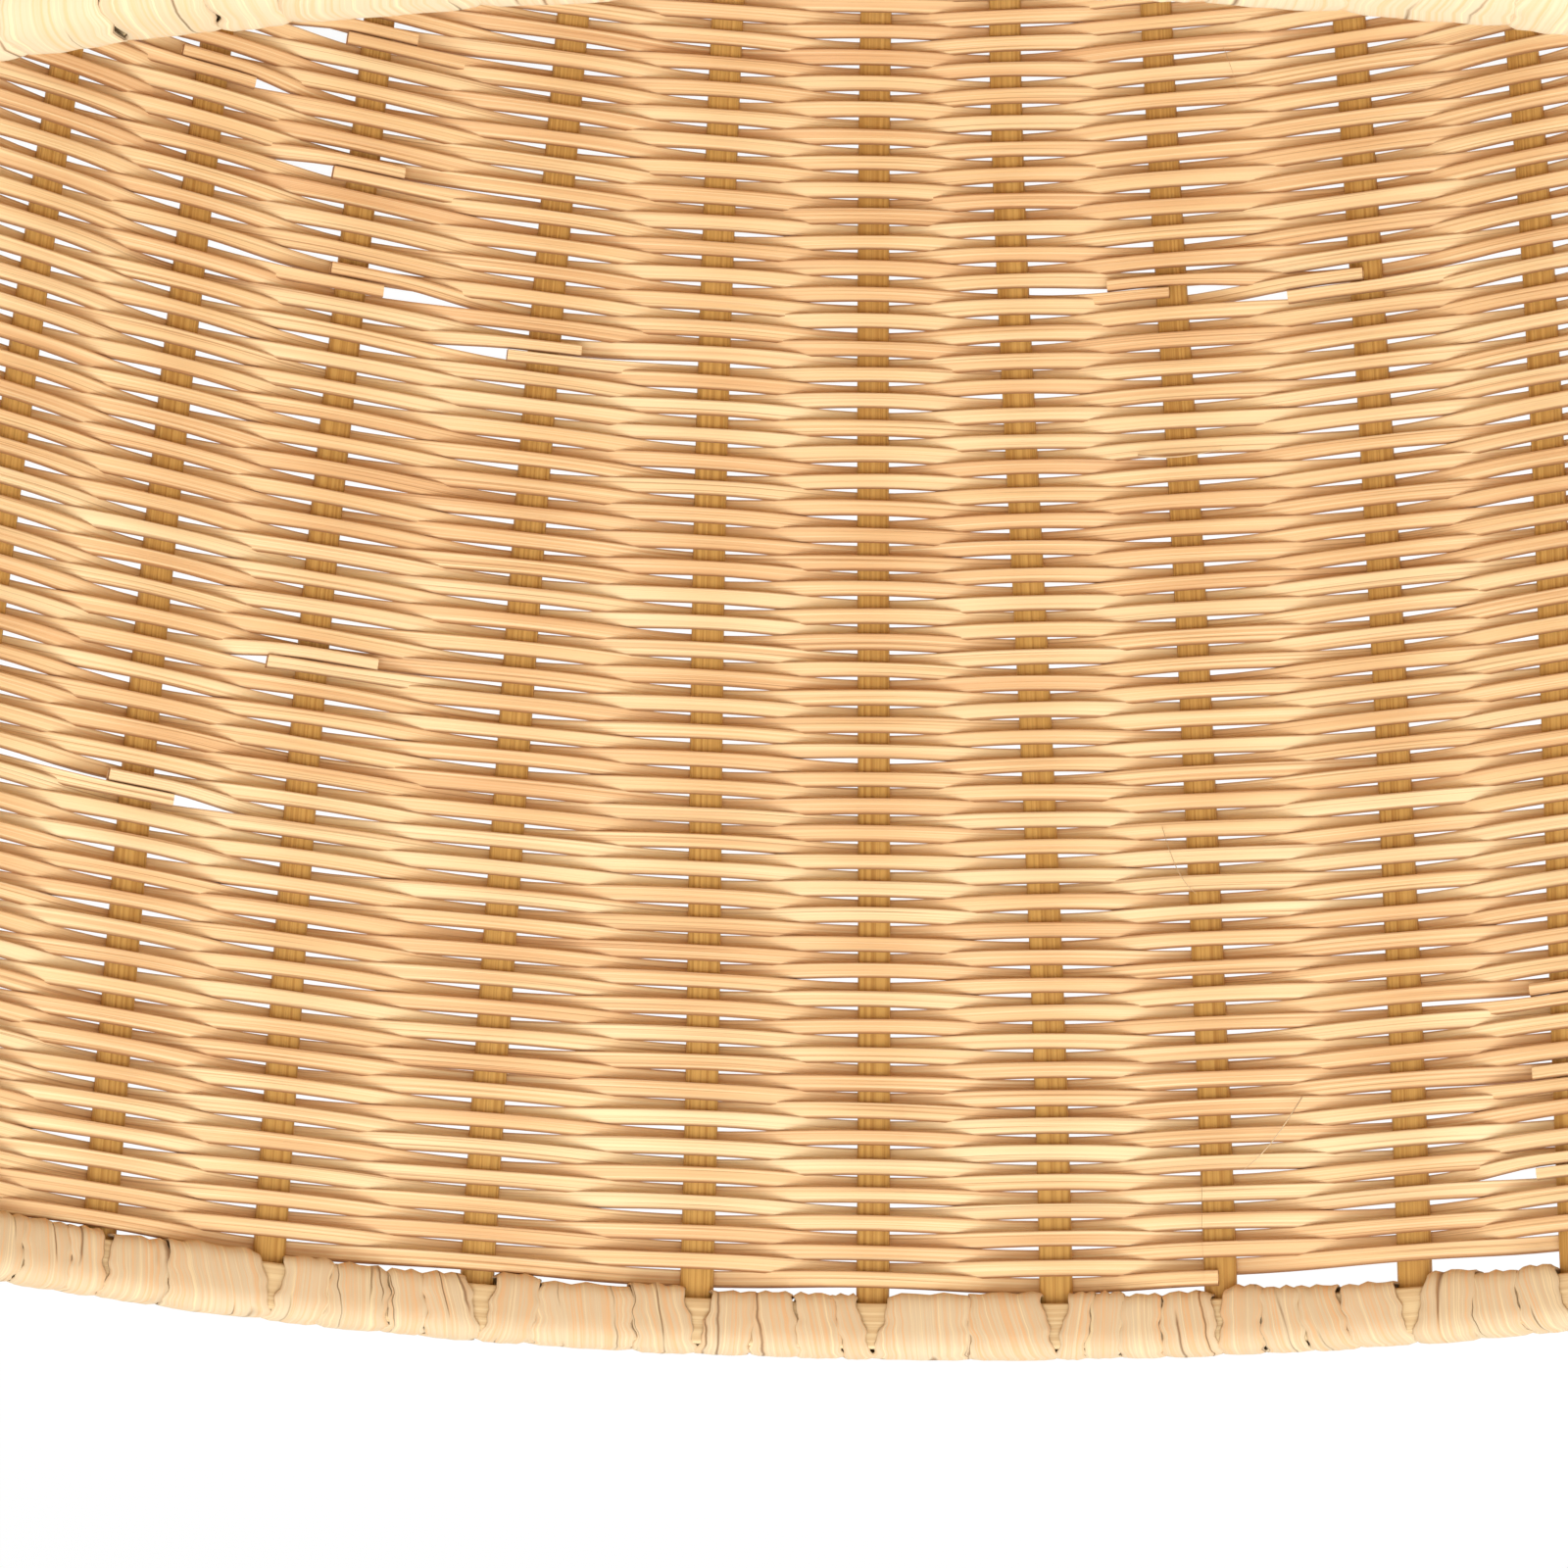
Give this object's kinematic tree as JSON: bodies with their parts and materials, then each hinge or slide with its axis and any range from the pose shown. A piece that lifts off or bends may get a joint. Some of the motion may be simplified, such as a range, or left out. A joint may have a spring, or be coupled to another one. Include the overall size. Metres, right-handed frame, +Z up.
{
  "type": "woven wicker basket",
  "caption": "Deep round open basket of plain-woven flat cane on flat splint stakes, with a hoop-and-binding rim and a foot hoop.",
  "frame": {"origin": "centre of the foot hoop's underside, on the surface that the basket stands on", "axes": "+Z up through the mouth; +X along the middle one of the three slit base sticks"},
  "size_m": [0.4102, 0.4102, 0.2477],
  "materials": {
    "weaver": "natural unvarnished cane, fine lengthwise grain, satin",
    "stake": "natural honey-brown splint, fine lengthwise grooves, satin",
    "hoop": "natural pale splint, bent to a ring, satin",
    "binding": "natural pale cane strip, fibrous, torn edges",
    "lashing": "natural pale cane strip"
  },
  "bodies": {
    "root": {"base_stick_1": "stake", "base_stick_2": "stake", "base_stick_3": "stake", "base_stick_4": "stake", "base_stick_5": "stake", "base_stick_6": "stake", "base_weave_centre_1": "weaver", "base_weave_centre_2": "weaver", "base_weave_edge_1": "weaver", "base_weave_foot_1": "weaver", "base_weave_middle_1": "weaver", "base_weave_middle_2": "weaver", "base_weave_outer_1": "weaver", "base_weave_outer_2": "weaver", "first_side_stakes_1": "stake", "first_side_stakes_2": "stake", "foot_hoop": "hoop", "foot_lashings": "lashing", "heel_weave_1": "weaver", "heel_weave_2": "weaver", "heel_weave_3": "weaver", "heel_weave_4": "weaver", "heel_weave_5": "weaver", "heel_weave_6": "weaver", "heel_weave_7": "weaver", "heel_weave_8": "weaver", "rim_binding_1": "binding", "rim_binding_2": "binding", "rim_binding_3": "binding", "rim_binding_4": "binding", "rim_binding_5": "binding", "rim_binding_6": "binding", "rim_binding_7": "binding", "rim_binding_8": "binding", "rim_inner_hoop": "hoop", "rim_outer_hoop": "hoop", "second_side_stakes_1": "stake", "second_side_stakes_2": "stake", "second_side_stakes_3": "stake", "second_side_stakes_4": "stake", "wall_weave_1": "weaver", "wall_weave_2": "weaver", "wall_weave_3": "weaver", "wall_weave_4": "weaver", "wall_weave_5": "weaver", "wall_weave_6": "weaver", "wall_weave_7": "weaver", "wall_weave_8": "weaver", "wall_weave_9": "weaver"}
  },
  "joints": []
}
